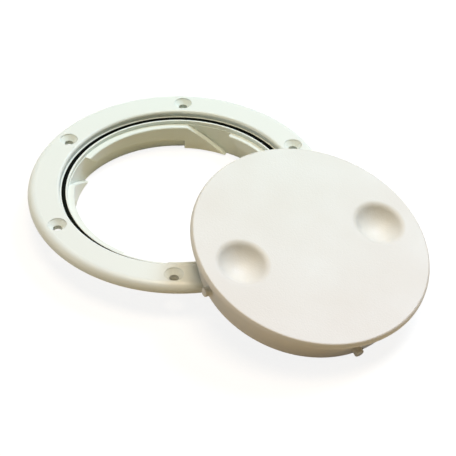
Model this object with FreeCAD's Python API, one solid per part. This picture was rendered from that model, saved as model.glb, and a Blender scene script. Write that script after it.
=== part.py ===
import FreeCAD, Part
import math
import os

# All sizes are in millimetres and angles in degrees.
# Z points up and z = 0 is the deck, which the flange's underside lies on.

# sealing ring, and the groove and lip it sits between
cord_mean_r = 54.73
cord_d = 1.78
cord_gap = 0.01
cord_squeeze = 0.24
groove_play = 0.06
groove_depth = 1.35
lip_w = 1.03
lip_h = 2.0
lip_round = 0.3

# throat that the lid drops into, and the spigot that enters the hole in the deck
seat_depth = 3.2
seat_land_w = 0.72
throat_round = 1.4
spigot_wall = 1.6
spigot_h = 3.0

# flange of the mounting ring
flange_t = 4.8
edge_round = 3.75
rim_round = 0.6
edge_flat = 0.3

# sealant recess in the flange's underside, with its ribs and the bosses round the screws
inner_land_w = 2.0
outer_land_w = 2.9
recess_depth = 2.0
boss_d = 9.6
rib_t = 1.6
ribs_per_bay = 3

# screw holes
screw_count = 6
screw_inset = 5.25
screw_first_deg = 90.5
screw_hole_d = 4.3
screw_head_d = 8.5
screw_sink = 0.5
screw_edge = 0.2
screw_margin = 0.05

# collar that hangs below the deck
step_w = 0.4
collar_t = 2.45
collar_h = 14.2
collar_round = 0.5

# cams that the lid's pegs turn under, each with a ramp that lifts the peg again
cam_count = 4
cam_w = 2.8
cam_window_deg = 27.3
cam_lead_deg = 5.9
cam_lead_drop = 5.4
cam_travel_drop = 2.85
cam_stop_deg = -0.9
cam_foot_h = 0.8
cam_edge = 0.35
stop_web_deg = 1.5
ramp_deg = 22.8

# lid and its skirt
lid_clearance = 1.3
lid_rim_t = 2.9
lid_rim_bevel_w = 0.75
lid_rim_bevel_h = 1.5
lid_rim_top_round = 0.75
lid_rim_side_round = 3.5
lid_rim_under_round = 0.3
lid_plate_t = 2.6
skirt_clearance = 0.55
skirt_t = 2.5
skirt_foot_round = 0.4
skirt_fillet = 1.5

# pegs on the skirt
peg_d = 4.4
peg_clearance = 0.45
peg_tip_round = 0.4
peg_root_round = 0.5
peg_foot_h = 1.15

# finger dimples, and the stiffening ribs under the lid's plate
dimple_count = 2
dimple_offset = 36.0
dimple_r = 11.0
dimple_depth = 6.4
dimple_blend = 3.6
dimple_wall = 2.2
hub_r = 15.0
hub_t = 1.6
hub_h = 3.0
spoke_count = 4

# where the lid leans: its foot stands on the floor beside the ring
lean_deg = -40.7
lean_overhang = 52.05
lean_gap = 0.02
dimple_deg = 29.95

# how closely the lean is worked out and edges are told apart, and how deep a rib reaches into its wall
tilt_low_deg = 1.0
tilt_high_deg = 45.0
foot_samples = 720
edge_samples = 7
edge_play = 0.01
tiny = 1e-6
weld = 0.4

# radii, from the sealing ring outwards; the flange reaches past its screw heads by a margin and its rounded
# edge, and between that rounding and the one below it a little of the edge stays upright
edge_r = min(edge_round, flange_t - rim_round - edge_flat)
cord_r = cord_d / 2
groove_in_r = cord_mean_r - cord_r - groove_play
groove_out_r = cord_mean_r + cord_r + groove_play
throat_r = groove_out_r + seat_land_w
spigot_r = throat_r + spigot_wall
screw_ring_r = spigot_r + screw_inset
flange_r = screw_ring_r + screw_head_d / 2 + screw_edge + screw_margin + edge_r
recess_in_r = spigot_r + inner_land_w
recess_out_r = flange_r - outer_land_w

# radii, from the sealing ring inwards
lip_in_r = groove_in_r - lip_w
collar_in_r = lip_in_r - step_w
collar_out_r = collar_in_r + collar_t
collar_mid_r = collar_in_r + collar_t / 2
cam_in_r = collar_in_r - cam_w
lid_r = throat_r - lid_clearance
skirt_r = cam_in_r - skirt_clearance
skirt_in_r = skirt_r - skirt_t
skirt_mid_r = skirt_r - skirt_t / 2
peg_tip_r = collar_in_r - peg_clearance
peg_r = peg_d / 2

# heights of the ring
seat_z = flange_t - seat_depth
groove_z = seat_z - groove_depth
step_z = seat_z - lip_h
lead_z = step_z - cam_lead_drop
ledge_z = lead_z - cam_travel_drop
floor_z = -collar_h
cam_foot_z = floor_z + cam_foot_h

# depths of the lid: closed, it squeezes the sealing ring while its pegs bear on the ledges
closed_lid_z = groove_z + cord_gap + cord_d - cord_squeeze + lid_rim_t
peg_depth = closed_lid_z - ledge_z + peg_r
lid_h = peg_depth + peg_r + peg_foot_h
dimple_sphere_r = (dimple_r ** 2 + dimple_depth ** 2) / (2 * dimple_depth)
dimple_centre_z = dimple_sphere_r - dimple_depth

up = FreeCAD.Vector(0, 0, 1)
outward_x = FreeCAD.Vector(1, 0, 0)
origin = FreeCAD.Vector(0, 0, 0)


def at(r, z):
    """Point in the XZ plane."""
    return FreeCAD.Vector(r, 0, z)


def rounded_profile(points):
    """Face in the XZ plane from (r, z, rounding) corners, each rounded by its own radius."""
    corners = []
    count = len(points)
    for i, (r, z, rounding) in enumerate(points):
        here = at(r, z)
        if rounding == 0:
            corners.append((here, None, here))
            continue
        to_before = (at(*points[i - 1][:2]) - here).normalize()
        to_after = (at(*points[(i + 1) % count][:2]) - here).normalize()
        half = to_before.getAngle(to_after) / 2
        reach = rounding / math.tan(half)
        inward = (to_before + to_after).normalize()
        middle = here + inward * (rounding / math.sin(half) - rounding)
        corners.append((here + to_before * reach, middle, here + to_after * reach))
    edges = []
    for i, (start, middle, end) in enumerate(corners):
        if middle is not None:
            edges.append(Part.Arc(start, middle, end).toShape())
        following = corners[(i + 1) % count][0]
        if end.distanceToPoint(following) > tiny:
            edges.append(Part.makeLine(end, following))
    return Part.Face(Part.Wire(edges))


def turned(points):
    """Solid of revolution about the Z axis."""
    return rounded_profile(points).revolve(origin, up, 360)


def around(shape, count, first_deg=0.0):
    """Copies of a shape at even steps about the Z axis."""
    copies = []
    for i in range(count):
        copy = shape.copy()
        copy.rotate(origin, up, first_deg + i * 360.0 / count)
        copies.append(copy)
    return copies


def upright(radius, r, z_from, z_to):
    """Vertical cylinder whose axis is at radius r on the X axis."""
    return Part.makeCylinder(radius, z_to - z_from, at(r, z_from), up)


def radial_bar(r_from, r_to, width, z_from, z_to):
    """Bar along the X axis."""
    bar = Part.makeBox(r_to - r_from, width, z_to - z_from)
    bar.translate(FreeCAD.Vector(r_from, -width / 2, z_from))
    return bar


def softened(shape, rounding, chosen):
    """Rounds the edges of a shape whose points all pass a test."""
    edges = []
    for edge in shape.Edges:
        if not edge.Degenerated and all(chosen(point) for point in edge.discretize(edge_samples)):
            edges.append(edge)
    return shape.makeFillet(rounding, edges)


def wrapped_edges(cylinder, outline):
    """Edges on a cylinder between (angle, height) corners, straight when it is unrolled."""
    edges = []
    for i, (angle, z) in enumerate(outline):
        next_angle, next_z = outline[(i + 1) % len(outline)]
        start = FreeCAD.Base.Vector2d(math.radians(angle), z)
        end = FreeCAD.Base.Vector2d(math.radians(next_angle), next_z)
        edges.append(Part.Geom2d.Line2dSegment(start, end).toShape(cylinder))
    return edges


def inset(outline, r, distance):
    """Clockwise (angle, height) outline drawn in by a distance, as measured on a cylinder."""
    mm_per_deg = math.radians(r)
    corners = [FreeCAD.Vector(angle * mm_per_deg, z, 0) for angle, z in outline]
    moved = []
    for i, here in enumerate(corners):
        to_before = (corners[i - 1] - here).normalize()
        to_after = (corners[(i + 1) % len(corners)] - here).normalize()
        here = here + (to_before + to_after) * (distance / to_before.cross(to_after).z)
        moved.append((here.x / mm_per_deg, here.y))
    return moved


def wrapped_block(sections):
    """Solid through sections from the axis outwards, each a radius and its (angle, height) outline."""
    faces = []
    loops = []
    for r, outline in sections:
        cylinder = Part.Cylinder()
        cylinder.Radius = r
        edges = wrapped_edges(cylinder, outline)
        if not loops or len(loops) == len(sections) - 1:
            faces.append(Part.Face(cylinder, Part.Wire(edges)))
        loops.append(edges)
    for inner_loop, outer_loop in zip(loops, loops[1:]):
        for inner, outer in zip(inner_loop, outer_loop):
            faces.append(Part.makeRuledSurface(inner, outer))
    shell = Part.makeShell(faces)
    shell.sewShape()
    solid = Part.makeSolid(shell)
    if solid.Volume < 0:
        solid.reverse()
    return solid


def cam_block():
    """One cam: a ledge the peg turns under, a stop at its end and the lifting ramp."""
    tip_deg = 360.0 / cam_count - cam_window_deg
    web_deg = cam_stop_deg - stop_web_deg
    outline = [
        (tip_deg, step_z),
        (tip_deg - cam_lead_deg, lead_z),
        (cam_stop_deg, ledge_z),
        (cam_stop_deg, cam_foot_z),
        (web_deg - ramp_deg, cam_foot_z),
        (web_deg, step_z),
    ]
    return wrapped_block([
        (cam_in_r, inset(outline, cam_in_r, cam_edge)),
        (cam_in_r + cam_edge, outline),
        (collar_mid_r, outline),
    ])


def screw_cut():
    """Straight hole, the cone for a flat screw head, and a chamfered sink that sets the head deeper."""
    hole_r = screw_hole_d / 2
    head_r = screw_head_d / 2
    head_z = flange_t - screw_sink
    edge_z = flange_t - screw_edge
    hole = upright(hole_r, screw_ring_r, 0, flange_t)
    cone = Part.makeCone(hole_r, head_r, head_r - hole_r, at(screw_ring_r, head_z - head_r + hole_r), up)
    sink = upright(head_r, screw_ring_r, head_z, edge_z)
    edge = Part.makeCone(head_r, head_r + screw_edge, screw_edge, at(screw_ring_r, edge_z), up)
    return hole.fuse([cone, sink, edge])


def make_ring():
    """Flange, spigot, seat, groove and collar turned as one, with the cams and recess ribs added."""
    body = turned([
        (collar_in_r, floor_z, collar_round),
        (collar_out_r, floor_z, collar_round),
        (collar_out_r, -spigot_h, 0),
        (spigot_r, -spigot_h, rim_round),
        (spigot_r, 0, 0),
        (recess_in_r, 0, 0),
        (recess_in_r, recess_depth, 0),
        (recess_out_r, recess_depth, 0),
        (recess_out_r, 0, 0),
        (flange_r, 0, rim_round),
        (flange_r, flange_t, edge_r),
        (throat_r, flange_t, throat_round),
        (throat_r, seat_z, 0),
        (groove_out_r, seat_z, 0),
        (groove_out_r, groove_z, 0),
        (groove_in_r, groove_z, 0),
        (groove_in_r, seat_z, lip_round),
        (lip_in_r, seat_z, lip_round),
        (lip_in_r, step_z, 0),
        (collar_in_r, step_z, 0),
    ])
    boss = upright(boss_d / 2, screw_ring_r, 0, recess_depth + weld)
    rib = radial_bar(recess_in_r - weld, recess_out_r + weld, rib_t, 0, recess_depth + weld)
    added = around(boss, screw_count, screw_first_deg) + around(cam_block(), cam_count)
    rib_step_deg = 360.0 / screw_count / (ribs_per_bay + 1)
    for i in range(ribs_per_bay):
        added += around(rib, screw_count, screw_first_deg + (i + 1) * rib_step_deg)
    holes = around(screw_cut(), screw_count, screw_first_deg)
    return body.fuse(added).removeSplitter().cut(holes)


def make_cord():
    """Sealing ring, lying in its groove."""
    return Part.makeTorus(cord_mean_r, cord_r, at(0, groove_z + cord_gap + cord_r), up)


def dimple_cut():
    """Bowl with a soft edge, turned about its own axis with its mouth at z = 0."""
    sphere_centre = at(0, dimple_centre_z)
    blend_r = math.sqrt((dimple_sphere_r + dimple_blend) ** 2 - (dimple_centre_z + dimple_blend) ** 2)
    blend_centre = at(blend_r, -dimple_blend)
    to_sphere = (sphere_centre - blend_centre).normalize()
    touch = blend_centre + to_sphere * dimple_blend
    mouth = at(blend_r, 0)
    bottom = at(0, -dimple_depth)
    soft_middle = blend_centre + (to_sphere + up).normalize() * dimple_blend
    bowl_middle = sphere_centre - (to_sphere + up).normalize() * dimple_sphere_r
    top = at(0, dimple_blend)
    top_edge = at(blend_r, dimple_blend)
    outline = [
        Part.Arc(mouth, soft_middle, touch).toShape(),
        Part.Arc(touch, bowl_middle, bottom).toShape(),
        Part.makeLine(bottom, top),
        Part.makeLine(top, top_edge),
        Part.makeLine(top_edge, mouth),
    ]
    return Part.Face(Part.Wire(outline)).revolve(origin, up, 360)


def dimple_shell():
    """The bowl's outer skin below the plate, kept inside the skirt."""
    skin = Part.makeSphere(dimple_sphere_r + dimple_wall)
    skin.translate(at(dimple_offset, dimple_centre_z))
    return skin.common(upright(skirt_mid_r, 0, -lid_h, -lid_plate_t / 2))


def make_peg():
    """Peg along the X axis, rooted in the skirt's wall, with its tip edge rounded."""
    peg = Part.makeCylinder(peg_r, peg_tip_r - skirt_mid_r, at(skirt_mid_r, -peg_depth), outward_x)
    return softened(peg, peg_tip_round, lambda point: point.x > peg_tip_r - tiny)


def at_peg_root(point):
    """True on the line where a peg leaves the skirt's outer wall."""
    off_wall = abs(math.hypot(point.x, point.y) - skirt_r)
    return off_wall < edge_play and abs(point.z + peg_depth) < peg_r + edge_play


def make_lid():
    """Lid with its top at z = 0: plate, skirt, pegs, finger dimples and the ribs beneath."""
    body = turned([
        (0, 0, 0),
        (lid_r - lid_rim_bevel_w, 0, lid_rim_top_round),
        (lid_r, -lid_rim_bevel_h, lid_rim_side_round),
        (lid_r, -lid_rim_t, lid_rim_under_round),
        (skirt_r, -lid_rim_t, 0),
        (skirt_r, -lid_h, skirt_foot_round),
        (skirt_in_r, -lid_h, skirt_foot_round),
        (skirt_in_r, -lid_plate_t, skirt_fillet),
        (0, -lid_plate_t, 0),
    ])
    plate_z = -lid_plate_t / 2
    rib_z = -lid_plate_t - hub_h
    hub = upright(hub_r, 0, rib_z, plate_z).cut(upright(hub_r - hub_t, 0, rib_z, plate_z))
    spoke = radial_bar(hub_r - hub_t / 2, skirt_mid_r, hub_t, rib_z, plate_z)
    bowl = dimple_cut()
    bowl.translate(at(dimple_offset, 0))
    added = [hub] + around(spoke, spoke_count, 180.0 / spoke_count)
    added += around(dimple_shell(), dimple_count) + around(make_peg(), cam_count)
    body = body.fuse(added).removeSplitter()
    body = softened(body, peg_root_round, at_peg_root)
    return body.cut(around(bowl, dimple_count))


def gap_to_flange(point):
    """Distance from a point above the flange to its upper surface, rounded at both edges."""
    r = math.hypot(point.x, point.y)
    outer_r = flange_r - edge_r
    inner_r = throat_r + throat_round
    if r > outer_r:
        return math.hypot(r - outer_r, point.z - flange_t + edge_r) - edge_r
    if r < inner_r:
        return math.hypot(inner_r - r, point.z - flange_t + throat_round) - throat_round
    return point.z - flange_t


def lid_frame(tilt_deg):
    """Centre of the skirt's foot, and the lid's downhill and level directions and axis."""
    tilt = math.radians(tilt_deg)
    lean = math.radians(lean_deg)
    away = FreeCAD.Vector(math.cos(lean), math.sin(lean), 0)
    level = FreeCAD.Vector(-math.sin(lean), math.cos(lean), 0)
    downhill = away * math.cos(tilt) - up * math.sin(tilt)
    axis = away * math.sin(tilt) + up * math.cos(tilt)
    rounding_lift = skirt_foot_round * (math.cos(tilt) + math.sin(tilt) - 1)
    foot = away * (flange_r + lean_overhang) + up * (floor_z - rounding_lift)
    return foot - downhill * skirt_r, downhill, level, axis


def lean_clearance(tilt_deg):
    """Least distance between the flange and the rounded edges of the skirt's foot."""
    foot_centre, downhill, level, axis = lid_frame(tilt_deg)
    centre = foot_centre + axis * skirt_foot_round
    gaps = []
    for r in (skirt_r - skirt_foot_round, skirt_in_r + skirt_foot_round):
        for i in range(foot_samples):
            turn = 2 * math.pi * i / foot_samples
            point = centre + downhill * (r * math.cos(turn)) + level * (r * math.sin(turn))
            gaps.append(gap_to_flange(point) - skirt_foot_round)
    return min(gaps)


def leaning(lid):
    """Moves the lid from its own frame to its place, resting on the flange and the floor."""
    low = tilt_low_deg
    high = tilt_high_deg
    while high - low > tiny:
        tilt = (low + high) / 2
        if lean_clearance(tilt) < lean_gap:
            low = tilt
        else:
            high = tilt
    foot_centre, _, level, axis = lid_frame(high)
    turn = FreeCAD.Rotation(level, high).multiply(FreeCAD.Rotation(up, dimple_deg))
    placed = lid.copy()
    placed.Placement = FreeCAD.Placement(foot_centre + axis * lid_h, turn)
    print("lid leans by", round(high, 3), "degrees")
    return placed


os.makedirs("parts", exist_ok=True)
nodes = {
    "mounting_ring": make_ring(),
    "o_ring": make_cord(),
    "lid": leaning(make_lid()),
}
for name, shape in nodes.items():
    solid = shape.Solids[0]
    solid.exportStep("parts/" + name + ".step")
    box = solid.BoundBox
    print(name, "solids", len(shape.Solids), "valid", solid.isValid(), "faces", len(solid.Faces))
    print("  volume", round(solid.Volume, 1), "height", round(box.ZMin, 3), "to", round(box.ZMax, 3))
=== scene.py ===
import math

import bpy
import numpy as np
from mathutils import Matrix, Vector


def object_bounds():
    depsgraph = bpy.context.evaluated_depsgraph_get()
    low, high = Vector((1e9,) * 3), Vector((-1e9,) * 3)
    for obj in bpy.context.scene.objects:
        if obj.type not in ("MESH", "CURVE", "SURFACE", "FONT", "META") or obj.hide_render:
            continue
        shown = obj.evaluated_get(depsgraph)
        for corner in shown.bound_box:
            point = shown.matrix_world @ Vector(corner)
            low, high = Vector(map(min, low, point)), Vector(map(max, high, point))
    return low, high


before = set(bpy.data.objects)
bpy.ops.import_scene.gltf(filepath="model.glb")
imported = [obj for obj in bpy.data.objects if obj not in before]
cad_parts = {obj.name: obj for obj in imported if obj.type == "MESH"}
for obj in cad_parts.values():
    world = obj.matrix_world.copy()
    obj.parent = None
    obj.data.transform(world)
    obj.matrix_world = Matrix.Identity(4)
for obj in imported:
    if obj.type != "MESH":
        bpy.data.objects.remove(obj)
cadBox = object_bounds()
mm = 0.001  # the frame is in metres
print("frame loaded:", ", ".join(sorted(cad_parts)))


def linearColour(hexColour):
    # sRGB hex text to the linear RGBA that sockets want
    parts = np.array([int(hexColour[i:i + 2], 16) for i in (1, 3, 5)]) / 255
    linear = np.where(parts <= 0.04045, parts / 12.92, ((parts + 0.055) / 1.055) ** 2.4)
    return (*linear.tolist(), 1.0)


def addNode(tree, kind, inputs=None, **settings):
    # one shader node: settings are its properties, inputs its values or the sockets linked to it
    # a Mix node's inputs go by number: 0 is the share, 2 and 3 mix numbers, 6 and 7 mix colours
    node = tree.nodes.new(kind)
    for name, value in settings.items():
        setattr(node, name, value)
    for name, value in (inputs or {}).items():
        if isinstance(value, bpy.types.NodeSocket):
            tree.links.new(value, node.inputs[name])
        else:
            node.inputs[name].default_value = value
    return node


def emptyMaterial(name):
    material = bpy.data.materials.new(name)
    material.use_nodes = True
    material.node_tree.nodes.clear()
    return material, material.node_tree


# camera: where the photograph was taken from, with its focal length in the picture's own pixels
cameraSetup = {
    "place": (23.918 * mm, -602.524 * mm, 503.709 * mm),
    "tiltDeg": 48.869,
    "rollDeg": 1.710,
    "framePixels": 456,
    "focalPixels": 1649.65,
    "sensorMm": 36.0,
    "nearest": 10 * mm,
}


def makeCamera(setup):
    data = bpy.data.cameras.new("camera")
    data.sensor_width = setup["sensorMm"]
    data.lens = setup["sensorMm"] * setup["focalPixels"] / setup["framePixels"]
    data.clip_start = setup["nearest"]
    camera = bpy.data.objects.new("camera", data)
    turn = Matrix.Rotation(math.radians(setup["tiltDeg"]), 4, "X")
    roll = Matrix.Rotation(math.radians(setup["rollDeg"]), 4, "Z")
    camera.matrix_world = Matrix.Translation(setup["place"]) @ turn @ roll
    bpy.context.scene.collection.objects.link(camera)
    bpy.context.scene.camera = camera


makeCamera(cameraSetup)
print("camera placed")


# studio, in metres and watts: softboxes behind, above and low at the left, a dim warm room, a white floor
lampAim = (20 * mm, -20 * mm, 0.0)  # between the ring and the lid
backBox = {
    "name": "softboxBehind",
    "place": (0.99, 1.18, 1.84),
    "size": 1.0,
    "power": 41.5,
    "colour": "#D3E7FF",
}
topBox = {
    "name": "softboxAbove",
    "place": (0.0, 0.0, 2.40),
    "size": 1.2,
    "power": 39.3,
    "colour": "#FFEBCD",
}
leftBox = {
    "name": "softboxLeft",
    "place": (-2.0, -0.3, 0.35),
    "size": 1.0,
    "power": 7.7,
    "colour": "#F3F8FF",
}
room = {
    "colour": "#FFF1D0",
    "strength": 0.02,
    "seenColour": "#FFFFFF",
    "seenStrength": 1.0,
}
# white paper: most of what the camera sees is glow, and the diffuse rest takes the object's shadow
paperFloor = {
    "size": 8.0,
    "gap": 0.02 * mm,  # so that the floor doesn't share a plane with the object's lowest edge
    "seenColour": "#FFFFFF",
    "seenDiffuse": 0.22,
    "seenGlow": 0.86,
    "bounceColour": "#D4C197",
}


def makeSoftbox(setup):
    data = bpy.data.lights.new(setup["name"], "AREA")
    data.shape = "SQUARE"
    data.size = setup["size"]
    data.energy = setup["power"]
    data.color = linearColour(setup["colour"])[:3]
    lamp = bpy.data.objects.new(setup["name"], data)
    place = Vector(setup["place"])
    facing = (Vector(lampAim) - place).to_track_quat("-Z", "Y").to_matrix().to_4x4()
    lamp.matrix_world = Matrix.Translation(place) @ facing
    bpy.context.scene.collection.objects.link(lamp)


def seenDirectly(tree):
    # 1 for camera, glossy and transmission rays, which see the white background
    path = addNode(tree, "ShaderNodeLightPath")
    some = addNode(tree, "ShaderNodeMath", operation="ADD",
                   inputs={0: path.outputs["Is Camera Ray"], 1: path.outputs["Is Glossy Ray"]})
    return addNode(tree, "ShaderNodeMath", operation="ADD", use_clamp=True,
                   inputs={0: some.outputs[0], 1: path.outputs["Is Transmission Ray"]}).outputs[0]


def makeRoom(setup):
    world = bpy.data.worlds.new("room")
    world.use_nodes = True
    tree = world.node_tree
    tree.nodes.clear()
    light = addNode(tree, "ShaderNodeBackground",
                    {"Color": linearColour(setup["colour"]), "Strength": setup["strength"]})
    white = addNode(tree, "ShaderNodeBackground",
                    {"Color": linearColour(setup["seenColour"]), "Strength": setup["seenStrength"]})
    mixed = addNode(tree, "ShaderNodeMixShader",
                    {0: seenDirectly(tree), 1: light.outputs[0], 2: white.outputs[0]})
    addNode(tree, "ShaderNodeOutputWorld", {"Surface": mixed.outputs[0]})
    bpy.context.scene.world = world


def makeFloor(setup):
    # one square, just under the lowest point of the object
    half = setup["size"] / 2
    z = cadBox[0].z - setup["gap"]
    corners = [(-half, -half, z), (half, -half, z), (half, half, z), (-half, half, z)]
    mesh = bpy.data.meshes.new("floor")
    mesh.from_pydata(corners, [], [(0, 1, 2, 3)])
    floor = bpy.data.objects.new("floor", mesh)
    bpy.context.scene.collection.objects.link(floor)
    material, tree = emptyMaterial("paperSweep")
    share = setup["seenDiffuse"]
    lit = addNode(tree, "ShaderNodeBsdfDiffuse", {"Color": (share, share, share, 1.0)})
    glow = addNode(tree, "ShaderNodeEmission",
                   {"Color": linearColour(setup["seenColour"]), "Strength": setup["seenGlow"]})
    seen = addNode(tree, "ShaderNodeAddShader", {0: lit.outputs[0], 1: glow.outputs[0]})
    bounce = addNode(tree, "ShaderNodeBsdfDiffuse", {"Color": linearColour(setup["bounceColour"])})
    mixed = addNode(tree, "ShaderNodeMixShader",
                    {0: seenDirectly(tree), 1: bounce.outputs[0], 2: seen.outputs[0]})
    addNode(tree, "ShaderNodeOutputMaterial", {"Surface": mixed.outputs[0]})
    mesh.materials.append(material)


for softbox in (backBox, topBox, leftBox):
    makeSoftbox(softbox)
makeRoom(room)
makeFloor(paperFloor)
bpy.context.scene.view_settings.view_transform = "Standard"
print("studio lit")


# shared by the three mouldings: the refractive index, and how fine the streaks and the grain break up
moulding = {
    "ior": 1.5,
    "streakDetail": 3.0,
    "streakRoughness": 0.5,
    "streakBand": (0.3, 0.7),  # the noise mostly stays in here
    "grainDetail": 2.0,
    "grainRoughness": 0.6,
    # rays for the painted shade in the recesses
    "paintedShadeRays": 32,  # enough to keep the recesses free of speckle
}
# ASA, injection moulded: an off-white plastic with a soft, low gloss
# an eroded tool usually leaves a grain of 0.15 mm, too fine to show here, so both grains are drawn coarser
ringPlastic = {
    "name": "mouldedAsaRing",
    "colour": "#E8F5ED",
    "colourFar": "#EBEFEB",
    "gateMm": (-10.0, 75.0, 2.0),  # where the mould was filled
    "reachMm": 150.0,
    "streakMm": 26.0,
    "streakShare": 0.25,
    "roughness": (0.27, 0.37),
    "specular": 0.35,
    "grainMm": 0.7,
    "grainDepthMm": 0.035,
    # painted shade: the ring's colour turns darker and warmer in its recesses and bores, where its own form
    # lets little light in
    "paintedShadeMm": 7.0,
    "paintedShadeOpen": (0.20, 0.58),  # share of open space where the tone is full, and where it ends
    "paintedShadeColour": "#6A5A32",
}
# the same ASA out of a more deeply eroded tool: a little greyer and duller, with a grain that shows
lidPlastic = {
    "name": "mouldedAsaLid",
    "colour": "#DEE4DA",
    "colourFar": "#E7E3DE",
    "gateMm": (45.0, 5.0, 30.0),
    "reachMm": 110.0,
    "streakMm": 34.0,
    "streakShare": 0.25,
    "roughness": (0.36, 0.48),
    "specular": 0.35,
    "grainMm": 0.8,
    "grainDepthMm": 0.070,
}
# nitrile rubber, moulded: nearly black, with a dull skin that gives only a faint sheen
sealRubber = {
    "name": "mouldedNitrileRubber",
    "colour": "#040704",
    "colourFar": "#0A0E09",
    "gateMm": (54.0, 0.0, 1.0),
    "reachMm": 110.0,
    "streakMm": 6.0,
    "streakShare": 0.5,
    "roughness": (0.38, 0.52),
    "specular": 0.02,
    "grainMm": 0.25,
    "grainDepthMm": 0.006,
}


def paintShadeInRecesses(tree, look, colour):
    # painted shade: the colour turns warmer and darker where the piece's own form lets little light in, as
    # down the screw holes
    sky = addNode(tree, "ShaderNodeAmbientOcclusion", {"Distance": look["paintedShadeMm"] * mm},
                  samples=moulding["paintedShadeRays"], only_local=True)
    deep, clear = look["paintedShadeOpen"]
    lit = addNode(tree, "ShaderNodeMapRange",
                  {"Value": sky.outputs["AO"], "From Min": deep, "From Max": clear})
    return addNode(tree, "ShaderNodeMix", data_type="RGBA",
                   inputs={0: lit.outputs["Result"], 6: linearColour(look["paintedShadeColour"]),
                           7: colour}).outputs[2]


def makeMoulded(look):
    # the colour drifts from the gate where the mould was filled, flow streaks vary it and the gloss,
    # and the grain of the tool lies over both
    material, tree = emptyMaterial(look["name"])
    place = addNode(tree, "ShaderNodeTexCoord").outputs["Object"]
    gate = tuple(part * mm for part in look["gateMm"])
    away = addNode(tree, "ShaderNodeVectorMath", operation="DISTANCE", inputs={0: place, 1: gate})
    filled = addNode(tree, "ShaderNodeMapRange",
                     {"Value": away.outputs["Value"], "From Min": 0.0, "From Max": look["reachMm"] * mm})
    streaks = addNode(tree, "ShaderNodeTexNoise",
                      {"Vector": place, "Scale": 1 / (look["streakMm"] * mm),
                       "Detail": moulding["streakDetail"], "Roughness": moulding["streakRoughness"]})
    share = addNode(tree, "ShaderNodeMix", data_type="FLOAT",
                    inputs={0: look["streakShare"], 2: filled.outputs["Result"], 3: streaks.outputs["Fac"]})
    colour = addNode(tree, "ShaderNodeMix", data_type="RGBA",
                     inputs={0: share.outputs[0], 6: linearColour(look["colour"]),
                             7: linearColour(look["colourFar"])}).outputs[2]
    # painted shade in the recesses, for the pieces whose look asks for it
    if "paintedShadeMm" in look:
        colour = paintShadeInRecesses(tree, look, colour)
    least, most = moulding["streakBand"]
    smooth, dull = look["roughness"]
    gloss = addNode(tree, "ShaderNodeMapRange",
                    {"Value": streaks.outputs["Fac"], "From Min": least, "From Max": most,
                     "To Min": smooth, "To Max": dull})
    grain = addNode(tree, "ShaderNodeTexNoise",
                    {"Vector": place, "Scale": 1 / (look["grainMm"] * mm),
                     "Detail": moulding["grainDetail"], "Roughness": moulding["grainRoughness"]})
    bump = addNode(tree, "ShaderNodeBump",
                   {"Height": grain.outputs["Fac"], "Distance": look["grainDepthMm"] * mm, "Strength": 1.0})
    surface = addNode(tree, "ShaderNodeBsdfPrincipled",
                      {"Base Color": colour, "Roughness": gloss.outputs["Result"],
                       "IOR": moulding["ior"], "Specular IOR Level": look["specular"],
                       "Normal": bump.outputs["Normal"]})
    addNode(tree, "ShaderNodeOutputMaterial", {"Surface": surface.outputs[0]})
    return material


def dress(nodeName, material):
    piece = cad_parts[nodeName]
    piece.data.materials.clear()
    piece.data.materials.append(material)


dress("mounting_ring", makeMoulded(ringPlastic))
dress("lid", makeMoulded(lidPlastic))
dress("o_ring", makeMoulded(sealRubber))
print("materials assigned")

bpy.context.view_layer.update()
